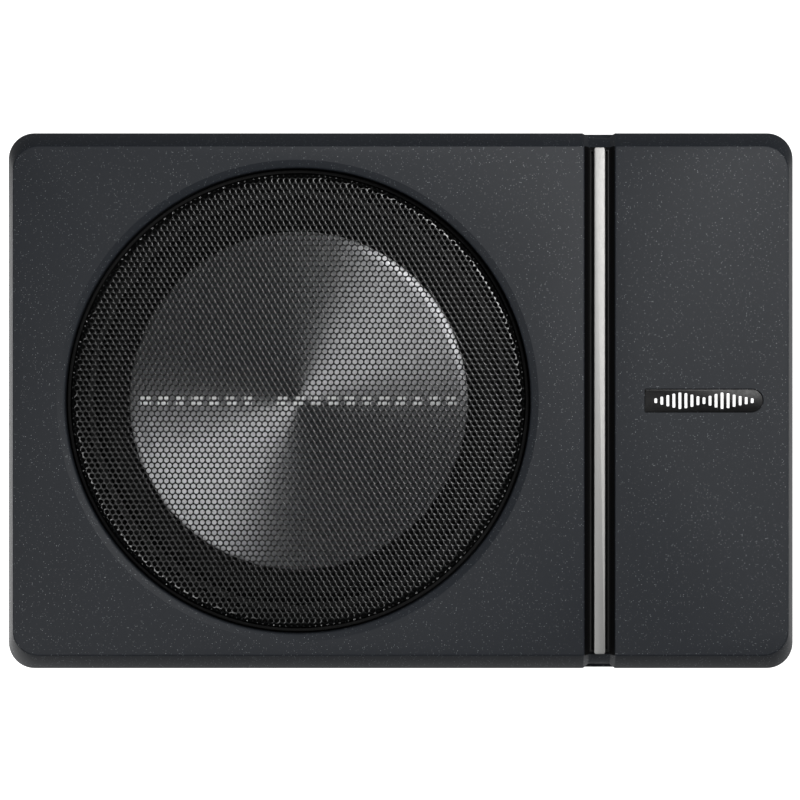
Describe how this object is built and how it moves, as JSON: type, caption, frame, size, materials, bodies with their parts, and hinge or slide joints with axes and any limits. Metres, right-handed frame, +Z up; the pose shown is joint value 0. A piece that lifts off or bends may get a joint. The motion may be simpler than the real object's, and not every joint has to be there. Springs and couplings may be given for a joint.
{
  "type": "powered car subwoofer",
  "caption": "Flat under-seat car subwoofer: a bevelled dark case with a round perforated grille over a shallow driver, a bright trim bar and a built-in amplifier.",
  "frame": {"origin": "middle of the footprint, on the surface the rubber feet stand on", "axes": "+Z up, out of the grille; +X along the case, towards the socket bay; +Y across the case"},
  "size_m": [0.34, 0.232, 0.07],
  "materials": {
    "cover_paint": "satin dark blue-grey paint with fine metallic flakes",
    "cast_aluminium": "die-cast, black powder coat",
    "black_plastic": "black, slightly grained",
    "bay_plastic": "black, matt texture",
    "knob_grey": "mid grey, satin",
    "rubber": "black, matt",
    "foam": "closed-cell foam, matt black",
    "grille_steel": "perforated sheet, satin black paint",
    "bar_aluminium": "brushed, clear anodised",
    "cone_aluminium": "spun, fine concentric lines",
    "badge_plastic": "gloss black, unlettered",
    "zinc_steel": "zinc plated",
    "black_steel": "blackened",
    "ferrite": "sintered ferrite, dull dark grey",
    "paper_pulp": "pressed pulp, matt black",
    "spider_cloth": "resin-dipped woven cloth",
    "copper": "enamelled copper wire",
    "board_green": "green solder mask",
    "capacitor_sleeve": "dark blue shrink sleeve",
    "epoxy_black": "moulded epoxy",
    "red_sleeve": "red cable sleeve",
    "black_sleeve": "black cable sleeve",
    "fuse_plastic": "translucent blue",
    "led_lens": "clear green lens",
    "socket_white": "natural white"
  },
  "bodies": {
    "case": {"amp_partition": "black_plastic", "badge_plate": "badge_plastic", "basket": "cast_aluminium", "blade_fuse": "fuse_plastic", "bottom_chassis": "cast_aluminium", "capacitor_1": "capacitor_sleeve", "capacitor_2": "capacitor_sleeve", "capacitor_3": "capacitor_sleeve", "chassis_gasket": "foam", "circuit_board": "board_green", "connector_bay": "bay_plastic", "cover_screw_1": "zinc_steel", "cover_screw_2": "zinc_steel", "cover_screw_3": "zinc_steel", "cover_screw_4": "zinc_steel", "crossover_pot": "black_plastic", "driver_gasket": "foam", "driver_screw_1": "black_steel", "driver_screw_2": "black_steel", "driver_screw_3": "black_steel", "driver_screw_4": "black_steel", "driver_screw_5": "black_steel", "driver_screw_6": "black_steel", "driver_terminal": "black_plastic", "fuse_holder": "black_plastic", "gain_pot": "black_plastic", "grille_mesh": "grille_steel", "grille_ring": "black_plastic", "heat_clamp_bar": "zinc_steel", "line_input_jacks": "black_plastic", "partition_grommet": "rubber", "phase_switch": "black_plastic", "pole_yoke": "zinc_steel", "power_socket": "black_plastic", "power_transistor_1": "epoxy_black", "power_transistor_2": "epoxy_black", "remote_socket": "black_plastic", "ring_magnet": "ferrite", "rubber_foot_1": "rubber", "rubber_foot_2": "rubber", "rubber_foot_3": "rubber", "rubber_foot_4": "rubber", "speaker_input_socket": "socket_white", "speaker_lead_black": "black_sleeve", "speaker_lead_red": "red_sleeve", "spider": "spider_cloth", "status_light": "led_lens", "surround": "rubber", "top_cover": "cover_paint", "top_plate": "zinc_steel", "toroid_choke": "copper", "trim_bar": "bar_aluminium", "trim_channel": "black_plastic"},
    "cone_assembly": {"cone": "cone_aluminium", "support_cone": "paper_pulp", "voice_coil_former": "bar_aluminium", "voice_coil_winding": "copper"},
    "gain_control": {"gain_knob": "knob_grey"},
    "crossover_control": {"crossover_knob": "knob_grey"},
    "phase_control": {"phase_slider": "knob_grey"}
  },
  "joints": [
    {"name": "cone_stroke", "type": "slide", "parent": "case", "child": "cone_assembly", "axis": [0, 0, 1], "range_m": [-0.005, 0.005], "stiffness_N_per_m": 6000, "deforming": ["surround", "spider"]},
    {"name": "gain_turn", "type": "hinge", "parent": "case", "child": "gain_control", "pos_m": [0.16, -0.082, 0.025], "axis": [1, 0, 0], "range_deg": [-140, 140]},
    {"name": "crossover_turn", "type": "hinge", "parent": "case", "child": "crossover_control", "pos_m": [0.16, -0.065, 0.025], "axis": [1, 0, 0], "range_deg": [-140, 140]},
    {"name": "phase_slide", "type": "slide", "parent": "case", "child": "phase_control", "axis": [0, 1, 0], "range_m": [0, 0.004]}
  ]
}
